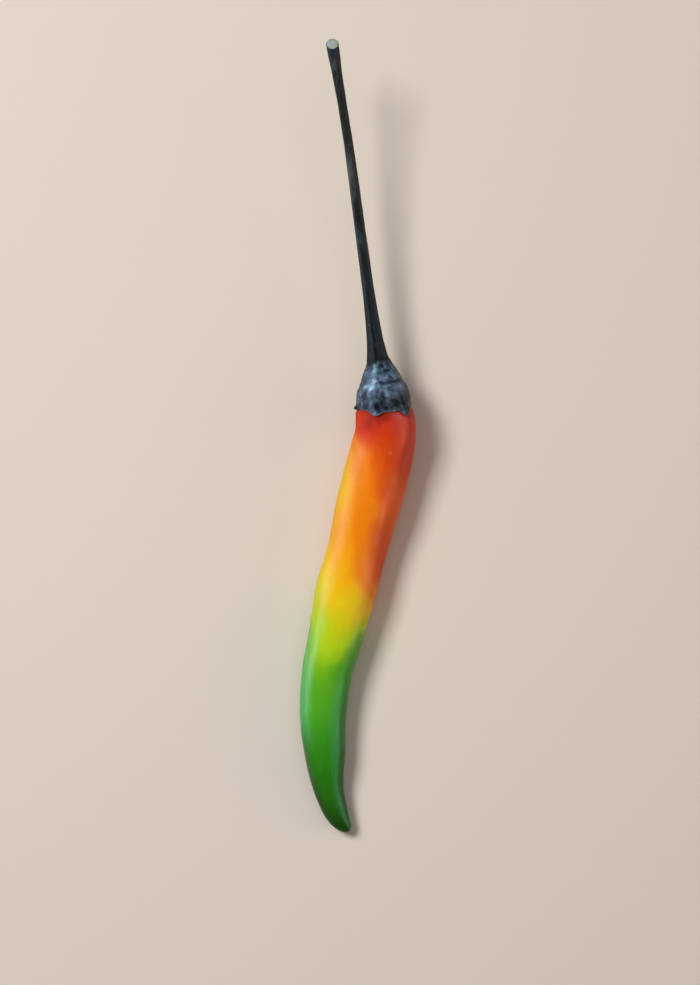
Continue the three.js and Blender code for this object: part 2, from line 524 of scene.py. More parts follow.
class PaintGraph(Graph):
    """A shader tree or group under construction."""

    kind = "ShaderNode"

    def read(self, mark: Mark) -> Wire:
        """Reads an attribute."""
        made = self.add("ShaderNodeAttribute", attribute_name=mark.value)
        return made["Vector" if mark.is_vector else "Fac"]

    def mixed(self, share: Value, first: Value, second: Value, blend: str = "MIX") -> Wire:
        """Mixes two colours.

        Args:
            share: the share of the second colour.
            first: the first colour, or its code.
            second: the second colour, or its code.
            blend: Blender's name for the way to mix.
        Returns:
            The mixed colour.
        """
        colours = (linear(each) if isinstance(each, str) else each for each in (first, second))
        values = dict(enumerate((share, *colours)))
        return self.add("ShaderNodeMix", values, data_type="RGBA", blend_type=blend)

    def noise(self, scale: float, detail: float = 2.0, roughness: float = 0.5) -> Wire:
        """Reads noise, from 0 to 1, at the place that the point had before its piece was bent."""
        values = {"Vector": self.read(Mark.STRAIGHT), "Scale": scale, "Detail": detail}
        return self.add("ShaderNodeTexNoise", values | {"Roughness": roughness})

    def mottled(self, pattern: Pattern) -> Wire:
        """Reads soft patches, from -1 to 1, at the place before the piece was bent."""
        values = {name.capitalize(): value for name, value in pattern._asdict().items()}
        return self.use(mottling_group(), {"Place": self.read(Mark.STRAIGHT)} | values)

    def banded(self, value: Value, stops: tuple[Stop, ...]) -> Wire:
        """Turns a number into a colour.

        Args:
            value: what is read.
            stops: numbers in rising order, and the colour at each.
        Returns:
            The colour.
        """
        first, last = stops[0][0], stops[-1][0]
        share = self.add("ShaderNodeMapRange", {0: value, 1: first, 2: last})
        made = self.add("ShaderNodeValToRGB", {0: share})
        elements = made.node.color_ramp.elements
        while len(elements) < len(stops):
            elements.new(0.5)
        for element, (at, code) in zip(elements, stops):
            element.position = (at - first) / (last - first)
            element.color = linear(code)
        return made


@cache
def mottling_group() -> bpy.types.NodeTree:
    """Makes the group for soft patches and streaks.

    Returns:
        A group whose inputs are the place, the patches' size, their length along the piece, how
        many finer layers they have and a seed. It puts out a number from -1 to 1.
    """
    numbers = dict.fromkeys(("Size", "Stretch", "Detail", "Seed"), "Float")
    graph = PaintGraph("Mottling", {"Place": "Vector"} | numbers, {"Patches": "Float"})
    noise = graph.patchy(graph.given["Place"], roughness=0.55)
    spread = dict(enumerate((noise, *PATCH_NOISE, -1.0, 1.0)))
    return graph.put_out({"Patches": graph.add("ShaderNodeMapRange", spread)})


class Coat(PaintGraph):
    """The shader tree of one material, whose colour is laid on in layers."""

    colour: Value  # the layers so far

    def __init__(self, material: bpy.types.Material) -> None:
        """Empties a material's tree, and reads where each point is.

        Args:
            material: the material.
        """
        material.use_nodes = True
        self.tree = material.node_tree
        self.tree.nodes.clear()
        self.place = self.read(Mark.STRAIGHT)
        self.along = self.read(Mark.ALONG)
        self.side = self.read(Mark.SIDE)

    def tint(self, share: Value, colour: Value, blend: str = "MIX") -> None:
        """Lays a share of a colour over those before it."""
        self.colour = self.mixed(share, self.colour, colour, blend)

    def finish(
        self, roughness: Wire, gloss: float, relief: Wire, depth: float, **more: Value
    ) -> None:
        """Ends the tree with a Principled shader.

        Args:
            roughness: how rough the surface is.
            gloss: its specular level.
            relief: a fine relief, about 0 to 1.
            depth: how deep a relief of 1 is, in millimetres.
            more: the shader's other inputs, with _ for each space in their names.
        """
        bump = {"Height": relief, "Strength": 1.0, "Distance": depth * MM}
        values = {"Base Color": self.colour, "Roughness": roughness, "Specular IOR Level": gloss}
        values |= {name.replace("_", " "): value for name, value in more.items()}
        values |= {"Normal": self.add("ShaderNodeBump", bump)}
        shader = self.add("ShaderNodeBsdfPrincipled", values)
        self.add("ShaderNodeOutputMaterial", {"Surface": shader})


@dataclass(frozen=True)
class Finish(ABC):
    """How a surface looks."""

    name: ClassVar[str]

    def material(self) -> bpy.types.Material:
        """Makes the material.

        Returns:
            The material.
        """
        made = bpy.data.materials.new(self.name)
        self.paint(Coat(made))
        return made

    @abstractmethod
    def paint(self, coat: Coat) -> None:
        """Lays on the colours, and ends the tree with its shader."""


class Patch(NamedTuple):
    """A soft patch of skin that looks further along, or less far, than what lies round it."""

    place: Point  # before the pod was bent
    reach: float
    shift: float


class Gleam(NamedTuple):
    """A pale spot or streak on the skin: a painted highlight where a lamp's reflection falls."""

    place: Point  # before the pod was bent
    reach: float
    stretch: float  # how many times as long as wide it is
    strength: float
    colour: str = "f69c74"


@dataclass(frozen=True)
class WaxySkin(Finish):
    """The pod's smooth skin, which ripens from the calyx towards the tip.

    The side towards +X is riper: there the red and orange run further down the pod, and on the
    other side the yellow runs further up. Ripeness is told as the distance along the pod at which
    the middle of its top has the same colour. Streaks, clouds and patches shift it, so that what
    they cover looks further along, and a painted shade makes the underside and the side towards +X
    look further along too. Painted sheen lies on the green flanks, and painted highlights, pale
    spots and streaks, lie over it.
    """

    name = "waxy_skin"
    ripening: tuple[Stop, ...] = (
        (53.5, "8c1c0e"), (55.2, "a8240e"), (56.4, "ca3411"), (58.5, "d64010"),
        (60.5, "da4a0e"), (63.2, "e25e08"), (67.0, "ee7404"), (70.5, "f28606"),
        (77.0, "f08806"), (80.0, "f49c08"), (83.0, "f4b80a"), (86.0, "ecca12"),
        (89.0, "cace12"), (92.0, "b0d41c"), (95.0, "78ba18"), (98.2, "5cae1e"),
        (101.5, "50a822"), (105.0, "3c981e"), (110.0, "2d7e14"), (113.0, "2b7416"),
        (116.2, "256010"), (119.0, "1c4c0e"),
    )
    slant: Ramp = (1.5, 14.0, 14.5, 0.0)  # how far the riper side is ahead, by distance
    slant_middle: float = 72.0  # from here
    slant_shift: float = 10.0  # the slant peaks this much later on the riper side
    slant_range: Hump = (57.5, 63.0, 79.5, 84.5)
    lean: Ramp = (86.0, 92.0, 4.5, 0.0)  # the slant that is left over down to the yellow
    lean_shift: float = 3.0
    streaks: Pattern = Pattern(1.6, 5.0, 3.0, 3.0)
    streak_shift: float = 0.8
    clouds: Pattern = Pattern(3.2, 1.6, 8.0, 3.0)
    patches: tuple[Patch, ...] = (
        Patch((-0.7, 4.4, 55.4), 2.7, -1.3),
        Patch((-2.8, 3.7, 58.6), 3.2, -1.5),
        Patch((-3.2, 3.5, 61.0), 2.6, -1.0),
        Patch((1.2, 4.6, 70.3), 2.6, 3.5),
        Patch((2.0, 3.8, 83.4), 3.8, 2.6),
        Patch((-2.4, 3.5, 86.0), 2.6, -1.2),
        Patch((1.3, 4.0, 87.4), 2.6, 0.9),
        Patch((2.0, 3.0, 95.6), 2.6, 2.6),
    )
    patch_core: float = 0.2  # the share of its reach in which a patch is whole
    # painted shade: the underside and the side towards +X, away from the key, look further along, a
    # darker green; further on, both sides are shaded alike
    under: Ramp = (-0.1, 0.87, 9.0, 0.0)  # how much further along the green underside looks
    under_tilt: float = 0.5  # the underside's middle is turned towards +X
    green_start: Ramp = (83.0, 93.0)
    both_sides: Ramp = (98.0, 106.0, 0.0, 0.8)  # further on both sides look alike
    verge: Ramp = (-1.0, -0.7, 2.0, 0.0)  # how much further along the less ripe side's edge looks
    verge_range: Hump = (63.0, 71.0, 76.0, 84.0)
    # painted sheen: a paler, bluer green on both flanks of the green part, where the lamps'
    # reflections fall
    left_flank: str = "5cba7a"
    left_range: Hump = (88.0, 96.0, 101.0, 108.0)
    left_side: Ramp = (-0.98, -0.5, 0.6, 0.0)
    right_flank: str = "48a860"
    right_start: Ramp = (95.0, 101.0)
    right_side: Hump = (0.1, 0.5, 0.7, 0.95)
    right_share: float = 0.3
    cells: Pattern = Pattern(0.35, 2.0, 1.0)
    cell_shade: float = 0.03
    # painted highlights: pale spots and streaks laid into the colour where the lamps' reflections
    # fall
    gleams: tuple[Gleam, ...] = (
        Gleam((1.23, 4.6, 61.2), 0.36, 1.0, 0.2),
        Gleam((2.75, 3.8, 58.8), 0.7, 3.0, 0.08),
        Gleam((2.7, 4.0, 65.0), 0.65, 2.5, 0.1),
        Gleam((2.4, 4.15, 69.3), 0.65, 4.0, 0.17),
        Gleam((2.6, 3.95, 71.6), 0.65, 3.0, 0.2),
        Gleam((2.7, 3.65, 74.9), 0.6, 2.5, 0.12),
        Gleam((3.1, 3.2, 80.9), 0.36, 1.0, 0.16),
        Gleam((3.0, 3.3, 82.2), 0.65, 4.0, 0.13),
        Gleam((3.1, 2.9, 85.6), 0.65, 2.5, 0.12, "e0b888"),
        Gleam((2.98, 2.7, 90.2), 0.75, 4.0, 0.18, "b8c6a0"),
        Gleam((2.98, 2.5, 93.0), 0.65, 2.5, 0.1, "98b0a0"),
    )
    gleam_core: float = 0.1
    gleam_fray: float = 0.06
    tip: Ramp = (119.45, 119.8)
    tip_colour: str = "3a3a12"
    roughness: float = 0.32
    cloud_roughness: float = 0.1
    matt: Ramp = (58.0, 62.5, 0.35, 0.0)  # how much rougher the shoulder is
    matt_side: Ramp = (-0.3, 0.1, 1.0, 0.0)  # on the less ripe side
    satin: Ramp = (86.0, 97.0, 0.14, 0.0)  # how much rougher the ripe part is
    gloss: float = 0.18
    glow: float = 0.35  # the share of light that goes into the flesh
    glow_radius: Point = (1.0, 0.3, 0.08)  # for red, green and blue
    glow_depth: float = 1.3
    grain: Ramp = (5.0, 3.0)
    grain_depth: float = 0.02

    def ripeness(self, coat: Coat, wander: Wire) -> Wire:
        """Works out how far along each point looks.

        Args:
            coat: the material's tree.
            wander: how far streaks and clouds shift it.
        Returns:
            The ripeness.
        """
        along, side = coat.along, coat.side
        off = abs(along - side * self.slant_shift - self.slant_middle)
        slant = coat.ramped(off, *self.slant) * coat.hump(along, *self.slant_range)
        lean = coat.ramped(along + side * self.lean_shift, *self.lean)
        lean = lean * coat.ramped(along, *self.slant_range[:2])
        # painted shade: the less a point faces the key, the further along and darker green it looks
        alike = coat.maths("MINIMUM", side, 0.0) * coat.ramped(along, *self.both_sides)
        lit = coat.read(Mark.TOP) - side * self.under_tilt + alike
        under = coat.ramped(lit, *self.under) * coat.ramped(along, *self.green_start)
        verge = coat.hump(along, *self.verge_range) * coat.ramped(side, *self.verge)
        ripe = along - side * (slant + lean) + wander + under + verge
        for patch in self.patches:
            off = coat.vector("DISTANCE", coat.place, patch.place)
            core = self.patch_core * patch.reach
            ripe = ripe + coat.ramped(off, core, patch.reach, patch.shift, 0.0)
        return ripe

    def paint(self, coat: Coat) -> None:
        """Paints the ripening, the painted sheen on the flanks, the painted highlights and the scar
        at the tip.

        Args:
            coat: the material's tree.
        """
        along, side = coat.along, coat.side
        streaks, clouds = coat.mottled(self.streaks), coat.mottled(self.clouds)
        ripe = self.ripeness(coat, streaks * self.streak_shift + clouds)
        coat.colour = coat.banded(ripe, self.ripening)
        # painted sheen on the flanks of the green part
        left = coat.hump(along, *self.left_range) * coat.ramped(side, *self.left_side)
        coat.tint(left, self.left_flank)
        right = coat.ramped(along, *self.right_start) * coat.hump(side, *self.right_side)
        coat.tint(right * self.right_share, self.right_flank)
        shade = coat.mottled(self.cells) * self.cell_shade + 1.0
        coat.colour = coat.vector("SCALE", coat.colour, shade)
        # painted highlights, laid over the colour
        for highlight in self.gleams:
            off = coat.vector("SUBTRACT", coat.place, highlight.place)
            off = coat.vector("MULTIPLY", off, (1.0, 1.0, 1.0 / highlight.stretch))
            off = coat.vector("LENGTH", off) + streaks * self.gleam_fray
            shown = coat.ramped(off, self.gleam_core, highlight.reach, highlight.strength, 0.0)
            coat.tint(shown, highlight.colour)
        coat.tint(coat.ramped(along, *self.tip), self.tip_colour)
        matt = coat.ramped(along, *self.matt) * coat.ramped(side, *self.matt_side)
        rough = clouds * self.cloud_roughness + self.roughness
        coat.finish(
            rough + matt + coat.ramped(along, *self.satin),
            self.gloss,
            coat.noise(*self.grain),
            self.grain_depth,
            Subsurface_Weight=self.glow,
            Subsurface_Radius=self.glow_radius,
            Subsurface_Scale=self.glow_depth * MM,
        )


@dataclass(frozen=True)
class Leathery(Finish):
    """The calyx's blue-black skin, with painted highlights on what stands up and painted shade in
    the creases.
    """

    name = "leathery_calyx"
    # painted highlight and shade: pale blue where the skin stands up, near black in creases and
    # hollows
    tones: tuple[Stop, ...] = (  # by how high the skin is raised
        (-0.26, "080b10"), (-0.15, "161e27"), (-0.05, "374659"), (0.05, "586e86"),
        (0.14, "7e9aba"), (0.23, "a2c0e4"), (0.34, "bed8f6"),
    )
    crinkles: Pattern = Pattern(0.85, 1.2, 9.0)
    crinkle_lift: float = 0.13
    # painted shade: darker towards the rim and round the flanks
    low_edge: Ramp = (52.6, 54.2, 0.0, -0.05)
    low_flank: Ramp = (0.0, 0.3, -0.06, 0.0)
    tinted: Ramp = (0.1, 0.28, 1.0, 0.2)  # the higher the skin, the fainter its tints
    greens: Pattern = Pattern(0.9, 1.3, 5.0, 1.0)
    green_share: Ramp = (-0.1, 0.7)
    green_tint: Colour = (0.84, 1.06, 0.84, 1.0)
    purples: Pattern = Pattern(0.8, 1.1, 11.0, 1.0)
    purple_lift: float = 0.03
    purple_share: Ramp = (0.0, 0.7)
    purple_tint: Colour = (1.18, 0.86, 1.06, 1.0)
    # painted warm shade on the side towards +X, away from the key
    brown_side: Ramp = (0.2, 0.7)
    brown_start: Ramp = (51.5, 53.8)
    brown_tint: Colour = (0.6, 0.32, 0.22, 1.0)
    # painted highlight: a pale line along the rim's rounded edge, broken up by patches and gone on
    # the far -X side
    edge: str = "92828a"
    edge_side: Ramp = (-0.98, -0.8, 0.0, 0.6)
    edge_wear: Ramp = (-0.5, 0.5, 0.3)
    dry: str = "1a110c"
    dry_side: Ramp = (-1.0, -0.94, 1.0, 0.0)
    dry_start: Ramp = (53.5, 54.3)
    neck: str = "0c1215"
    neck_end: Ramp = (47.7, 49.1, 1.0, 0.0)
    neck_fray: tuple[float, float] = (0.3, 0.35)  # by the purples and by the crinkles
    roughness: float = 0.36
    crinkle_roughness: float = 0.08
    neck_roughness: float = 0.3
    gloss: float = 0.14
    grain: Ramp = (2.6, 4.0, 0.6)
    grain_depth: float = 0.12

    def paint(self, coat: Coat) -> None:
        """Paints highlight and shade by height, its tints, the warm shade towards +X, the rim's
        highlight, the dry corner and the neck.

        Args:
            coat: the material's tree.
        """
        along, side = coat.along, coat.side
        greens, purples = coat.mottled(self.greens), coat.mottled(self.purples)
        crinkles = coat.mottled(self.crinkles)
        # painted highlight and shade by how high the skin stands, with painted shade on the flanks
        # and towards the rim
        low = coat.ramped(along, *self.low_edge) + coat.ramped(coat.read(Mark.TOP), *self.low_flank)
        high = coat.read(Mark.RAISED) + crinkles * self.crinkle_lift
        high = high + purples * self.purple_lift + low
        coat.colour = coat.banded(high, self.tones)
        tinted = coat.ramped(high, *self.tinted)
        green = coat.ramped(greens, *self.green_share) * tinted
        coat.tint(green, self.green_tint, "MULTIPLY")
        purple = coat.ramped(purples, *self.purple_share) * tinted
        coat.tint(purple, self.purple_tint, "MULTIPLY")
        # painted warm shade towards +X
        brown = coat.ramped(side, *self.brown_side) * coat.ramped(along, *self.brown_start)
        coat.tint(brown, self.brown_tint, "MULTIPLY")
        # the rim's painted highlight
        rim_glint = coat.read(Mark.RIM) * coat.ramped(side, *self.edge_side)
        coat.tint(rim_glint * coat.ramped(greens, *self.edge_wear), self.edge)
        dry = coat.ramped(side, *self.dry_side) * coat.ramped(along, *self.dry_start)
        coat.tint(dry, self.dry)
        by_purple, by_crinkle = self.neck_fray
        frayed = along + purples * by_purple + crinkles * by_crinkle
        neck = coat.ramped(frayed, *self.neck_end)
        coat.tint(neck, self.neck)
        rough = crinkles * self.crinkle_roughness + self.roughness + neck * self.neck_roughness
        coat.finish(rough, self.gloss, coat.noise(*self.grain), self.grain_depth)


class Worn(NamedTuple):
    """A pale patch of painted sheen on the stalk: how far along it is, its reach and its colour."""

    along: float
    reach: float
    colour: str


@dataclass(frozen=True)
class DarkBark(Finish):
    """The stalk's matte near-black skin, with cool patches, painted sheen, painted warm shade and a
    pale cut end.
    """

    name = "dark_stalk"
    body: str = "101314"
    streaks: Pattern = Pattern(0.5, 8.0, 2.0, 3.0)
    green: str = "131914"
    green_share: Ramp = (-0.4, 0.6)
    upper: str = "211f1d"
    upper_end: Ramp = (16.0, 34.0, 0.85, 0.0)
    foot: str = "080b0c"
    foot_start: Ramp = (40.0, 46.0, 0.0, 0.75)
    bruise: str = "1d2036"
    bruise_end: Ramp = (1.0, 2.3, 0.8, 0.0)
    clouds: Pattern = Pattern(0.8, 3.0, 7.0, 3.0)
    cool: str = "2e3840"
    cool_share: Ramp = (0.1, 0.9, 0.0, 0.6)
    speckles: Pattern = Pattern(0.2, 1.6, 6.0)
    # painted sheen: pale cool patches that stand in for highlights, strongest on the side towards
    # the key light
    worn: tuple[Worn, ...] = (
        Worn(3.1, 1.8, "4c4f52"),
        Worn(19.2, 4.6, "4d5251"),
        Worn(29.6, 2.4, "33474d"),
        Worn(35.4, 3.4, "1f2531"),
    )
    worn_fray: tuple[float, float, float] = (2.4, 1.2, 1.4)  # by clouds, streaks and speckles
    worn_side: Ramp = (-0.5, 0.7, 1.0, 0.2)
    worn_share: float = 0.8
    # painted warm bounce light on the stalk's shaded side towards +X
    brown: str = "261a14"
    brown_side: Ramp = (-0.1, 0.8)
    brown_share: Ramp = (16.0, 34.0, 0.8, 0.2)
    fleck: str = "4a5256"
    fleck_spacing: float = 0.8
    fleck_size: Ramp = (0.1, 0.25, 0.6, 0.0)  # in spacings
    fleck_odds: float = 0.35
    face: tuple[Stop, ...] = (  # pith, wood and rim of the cut face, by distance from its middle
        (0.0, "a0aebc"), (0.4, "a0aebc"), (0.65, "98a28c"), (0.9, "98a28c"), (1.05, "7c8070"),
    )
    face_tilt: float = 0.3
    face_offset: float = 0.2
    face_noise: Ramp = (3.0, 2.0)
    face_fray: float = 0.5
    sap: str = "86a09a"
    sap_pools: Pattern = Pattern(0.45, 1.0, 3.0, 1.0)
    sap_share: Ramp = (-0.2, 0.5, 0.0, 0.8)
    roughness: float = 0.55
    cloud_roughness: float = 0.08
    gloss: float = 0.14
    fibres: Pattern = Pattern(0.16, 12.0, 4.0, 3.0)
    fibre_depth: float = 0.012

    def paint(self, coat: Coat) -> None:
        """Paints the dark skin, its painted sheen, painted warm shade and flecks, and the cut face.

        Args:
            coat: the material's tree.
        """
        along, side = coat.along, coat.side
        streaks, clouds = coat.mottled(self.streaks), coat.mottled(self.clouds)
        speckles = coat.mottled(self.speckles)
        coat.colour = coat.mixed(coat.ramped(streaks, *self.green_share), self.body, self.green)
        coat.tint(coat.ramped(along, *self.upper_end), self.upper)
        coat.tint(coat.ramped(along, *self.foot_start), self.foot)
        coat.tint(coat.ramped(along, *self.bruise_end), self.bruise)
        coat.tint(coat.ramped(clouds, *self.cool_share), self.cool)
        # painted sheen, strongest on the side towards the key light
        by_cloud, by_streak, by_speckle = self.worn_fray
        fray = clouds * by_cloud + streaks * by_streak + speckles * by_speckle
        for worn in self.worn:
            off = abs(along - worn.along) + fray
            shown = coat.ramped(off, 0.0, worn.reach, self.worn_share, 0.0)
            coat.tint(shown * coat.ramped(side, *self.worn_side), worn.colour)
        # painted warm bounce light on the shaded side
        warm_shaded = coat.ramped(side, *self.brown_side) * coat.ramped(along, *self.brown_share)
        coat.tint(warm_shaded, self.brown)
        cell = coat.vector("DIVIDE", coat.place, (self.fleck_spacing,) * 3)
        cells = coat.add("ShaderNodeTexVoronoi", {"Vector": cell, "Scale": 1.0})
        drawn = coat.add("ShaderNodeSeparateColor", {0: cells["Color"]})
        drawn = coat.maths("LESS_THAN", drawn, self.fleck_odds)
        coat.tint(coat.ramped(cells, *self.fleck_size) * drawn, self.fleck)
        girth = coat.read(Mark.GIRTH) * (side * self.face_tilt + 1.0)
        ringed = coat.noise(*self.face_noise) * self.face_fray + girth - self.face_offset
        face = coat.banded(ringed, self.face)
        wet = coat.ramped(coat.mottled(self.sap_pools), *self.sap_share)
        coat.tint(coat.read(Mark.RIM), coat.mixed(wet, face, self.sap))
        rough = clouds * self.cloud_roughness + self.roughness
        coat.finish(rough, self.gloss, coat.mottled(self.fibres), self.fibre_depth)


def face_outwards(mesh: bpy.types.Mesh) -> None:
    """Turns a closed mesh's faces round if they point inwards.

    Args:
        mesh: the mesh.
    """
    shell = bmesh.new()
    shell.from_mesh(mesh)
    if shell.calc_volume(signed=True) < 0:
        bmesh.ops.reverse_faces(shell, faces=shell.faces)
        shell.to_mesh(mesh)
    shell.free()


def write_marks(mesh: bpy.types.Mesh, marks: Mapping[Mark, np.ndarray]) -> None:
    """Writes attributes to a mesh's points.

    Args:
        mesh: the mesh.
        marks: a number or a vector for each point, by attribute.
    """
    for mark, values in marks.items():
        attribute = mesh.attributes.new(mark.value, mark.kind, "POINT")
        holder = "vector" if mark.is_vector else "value"
        attribute.data.foreach_set(holder, values.astype(np.float32).ravel())


def shaped(
    mesh: bpy.types.Mesh, tree: bpy.types.NodeTree, inputs: Mapping[str, Value]
) -> bpy.types.Mesh:
    """Runs a mesh through a geometry node tree.

    Args:
        mesh: what the tree starts from. It is used up.
        tree: the tree.
        inputs: what its inputs are set to, by name.
    Returns:
        The result as a plain mesh.
    """
    worked = bpy.data.objects.new(mesh.name, mesh)
    bpy.context.scene.collection.objects.link(worked)
    modifier = worked.modifiers.new("Form", "NODES")
    modifier.node_group = tree
    for item in tree.interface.items_tree:
        if item.name in inputs and item.in_out == "INPUT":
            modifier[item.identifier] = inputs[item.name]
    evaluated = worked.evaluated_get(bpy.context.evaluated_depsgraph_get())
    made = bpy.data.meshes.new_from_object(evaluated)
    worked.modifiers.remove(modifier)
    bpy.data.objects.remove(worked)
    bpy.data.meshes.remove(mesh)
    return made


@dataclass
class Piece(ABC):
    """A grown piece, which a geometry node tree gives its form."""

    name: ClassVar[str]
    slot: ClassVar[Slot]
    finish: ClassVar[Finish]
    graph: ClassVar[type[ShapeGraph]]
    form: dict[str, float]  # what the tree's own inputs are set to

    @abstractmethod
    def start(self) -> bpy.types.Mesh:
        """Makes the mesh that the tree starts from."""

    @abstractmethod
    def tree(self, graph: ShapeGraph) -> bpy.types.NodeTree:
        """Builds the tree that turns it into the piece."""

    def build(self) -> bpy.types.Object:
        """Makes and dresses the piece, which stands for its CAD node.

        Returns:
            The piece.
        """
        sizes = self.form.items()
        kinds = {key: "Int" if isinstance(size, int) else "Float" for key, size in sizes}
        kinds = MESH | {"Material": "Material"} | kinds  # a modifier needs the mesh first
        graph = self.graph(f"{self.name.capitalize()} form", kinds, MESH)
        inputs = self.form | {"Material": self.finish.material()}
        mesh = shaped(self.start(), self.tree(graph), inputs)
        mesh.name = f"{self.name}_skin"
        face_outwards(mesh)
        piece = bpy.data.objects.new(mesh.name, mesh)
        bpy.context.scene.collection.objects.link(piece)
        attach(piece, BODY)
        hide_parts(self.name)
        return piece


@dataclass
class SweptPiece(Piece):
    """A piece that is made of rings along the centreline."""

    graph = RingGraph

    @abstractmethod
    def rows(self) -> dict[Mark, np.ndarray]:
        """The rings' distance along, girth and other marks, in order along the centreline."""

    def start(self) -> bpy.types.Mesh:
        """Makes the line of rings.

        Returns:
            A mesh of points and edges only, which carries the rows' marks.
        """
        rows = self.rows()
        rings = CENTRELINE.rings(rows[Mark.ALONG])
        count = len(rows[Mark.ALONG])
        mesh = bpy.data.meshes.new(f"{self.name}_spine")
        mesh.from_pydata((rings.axis * MM).tolist(), [(k, k + 1) for k in range(count - 1)], [])
        write_marks(mesh, rows | {Mark.AXIS: rings.axis * MM, Mark.GROW: rings.grow})
        return mesh


class Dent(NamedTuple):
    """A soft dent in the pod, or a swell where its depth is below 0."""

    along: float
    degrees: float
    depth: float
    reach: float


@dataclass
class Pod(SweptPiece):
    """The fruit: slender, bent in a soft S, faintly lobed, and flat where it lies."""

    name = "pod"
    slot = Slot.POD
    finish = WaxySkin()
    form: dict[str, float] = field(
        default_factory=lambda: {
            "Sides": 132,
            "Two lobes": 0.014,
            "Three lobes": 0.012,
            "Lobe twist": 0.03,
            "Pinch": 0.035,
            "Swell size": 3.0,
            "Swell height": 0.14,
            "Seed": 4.0,
        }
    )
    wall: Profile = Profile((
        (51.3, 0), (51.45, 1.2), (52.1, 2.2), (53.1, 2.95), (54.1, 3.4), (54.9, 3.86),
        (55.7, 4.32), (56.7, 4.56), (58, 4.68), (61, 4.76), (66, 4.84), (71, 4.76),
        (76.5, 4.46), (79.5, 4.48), (83, 4.52), (87, 4.2), (91, 3.95), (96, 3.68),
        (102, 3.38), (108, 2.92), (113, 2.2), (117, 1.64), (118.6, 1.2), (119.5, 0.72),
        (119.95, 0),
    ))
    dents: tuple[Dent, ...] = (
        Dent(62.0, 66, 0.26, 1.7),
        Dent(58.4, -85, 0.28, 1.9),
        Dent(55.4, -85, -0.14, 0.9),
        Dent(55.05, -88, -0.24, 0.5),
        Dent(66.5, 38, 0.1, 1.8),
        Dent(74.0, 52, 0.12, 2.4),
        Dent(77.8, 36, 0.18, 2.2),
        Dent(77.5, -80, 0.2, 3.6),
        Dent(70.5, 20, 0.14, 3.2),
        Dent(86.5, 95, 0.06, 3.4),
    )
    row_count: int = 440
    free_from: Ramp = (56.2, 59.2)  # under the calyx the skin is held smooth
    tip: Ramp = (116, 119)  # and on the tip too
    lobed_from: Ramp = (57.0, 64.0)
    pinched: Hump = (55.8, 57.2, 58.5, 62.0)  # where the calyx holds it
    pinch_folds: float = 5.0
    pinch_turn: float = 0.3
    swell_stretch: float = 1.7

    def rows(self) -> dict[Mark, np.ndarray]:
        """Spreads rings evenly over the wall.

        Returns:
            The rings' marks.
        """
        along, girth = self.wall.rows(self.row_count).T
        loose = smoothstep(along, *self.free_from) * (1 - smoothstep(along, *self.tip))
        return {Mark.ALONG: along, Mark.GIRTH: girth, Mark.LOOSE: loose}

    def tree(self, graph: RingGraph) -> bpy.types.NodeTree:
        """Gives the rings lobes, dents, pinched folds and soft swellings.

        Args:
            graph: the tree with its rings.
        Returns:
            The tree.
        """
        given, along, angle, girth = graph.given, graph.along, graph.angle, graph.girth
        twist = given["Lobe twist"] * along
        two = graph.maths("COSINE", angle * 2.0 + twist) * given["Two lobes"]
        three = graph.maths("COSINE", angle * 3.0 - twist) * given["Three lobes"]
        radius = girth * ((two + three) * graph.ramped(along, *self.lobed_from) + 1.0)
        for dent in self.dents:
            place = {"Along": along, "Angle": angle, "Radius": girth, "At": dent.along}
            place |= {"Direction": math.radians(dent.degrees)}
            form = {"Depth": dent.depth, "Reach": dent.reach}
            radius = radius - graph.use(dent_group(), place | form)
        folds = graph.maths("COSINE", (angle + self.pinch_turn) * self.pinch_folds)
        radius = radius + folds * graph.hump(along, *self.pinched) * given["Pinch"]
        mesh = graph.wrinkled(graph.set_out(radius), "Swell", self.swell_stretch, detail=1.0)
        place = graph.add("ShaderNodeSeparateXYZ", {0: graph.add("GeometryNodeInputPosition")})
        landed = graph.combined(place["X"], place["Y"], graph.maths("MAXIMUM", place["Z"], 0.0))
        mesh = graph.add("GeometryNodeSetPosition", {"Geometry": mesh, "Position": landed})
        return graph.closed_off(mesh)


